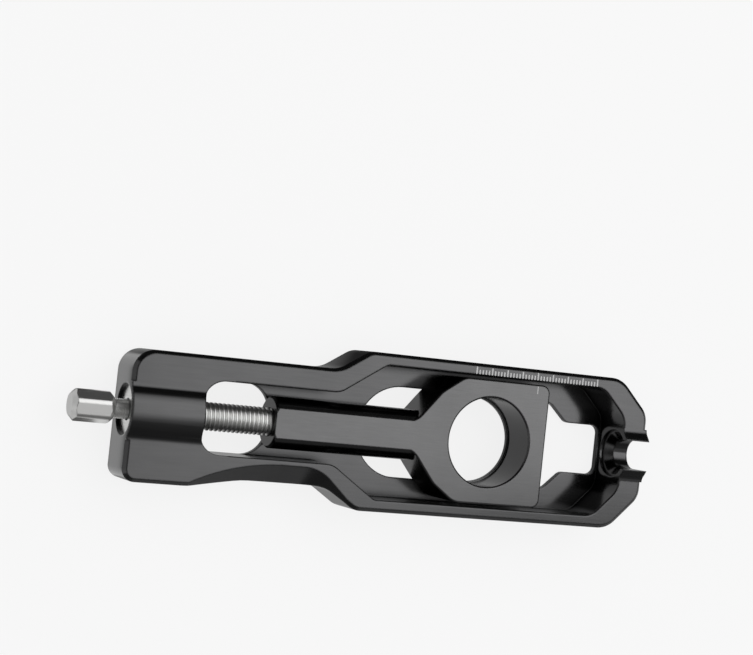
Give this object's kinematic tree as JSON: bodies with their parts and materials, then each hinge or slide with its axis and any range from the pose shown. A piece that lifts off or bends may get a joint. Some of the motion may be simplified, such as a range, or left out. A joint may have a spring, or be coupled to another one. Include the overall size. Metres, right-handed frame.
{
  "type": "motorcycle chain adjuster",
  "caption": "Milled swingarm chain adjuster: a pocketed body with a sliding axle block, drawn along by a captive hex-ended screw, with scale ticks on the rim.",
  "frame": {"origin": "middle of the box on the flat back face, which lies on the table or against the swingarm", "axes": "+X from the hex end to the notched end, +Y across the body towards the scale, +Z from the back face to the front"},
  "size_m": [0.174, 0.0444, 0.0182],
  "materials": {
    "black_body": "black anodised, satin",
    "black_block": "black anodised, satin",
    "bright_steel": "bright turned",
    "washer_steel": "dull",
    "ring_steel": "bright turned"
  },
  "bodies": {
    "frame": {"body": "black_body", "thrust_washer": "washer_steel", "retaining_ring": "ring_steel"},
    "block": {"axle_block": "black_block"},
    "screw": {"adjuster_screw": "bright_steel"}
  },
  "joints": [
    {"name": "screw_spin", "type": "hinge", "parent": "frame", "child": "screw", "pos_m": [-0.0723, 0, 0.0096], "axis": [1, 0, 0], "range_deg": [-5760, 5760]},
    {"name": "block_slide", "type": "slide", "parent": "frame", "child": "block", "axis": [1, 0, 0], "range_m": [-0.02, 0.02]}
  ],
  "couplings": [
    {"joint": "screw_spin", "follows": "block_slide", "rad_per_m": -5026.5}
  ]
}
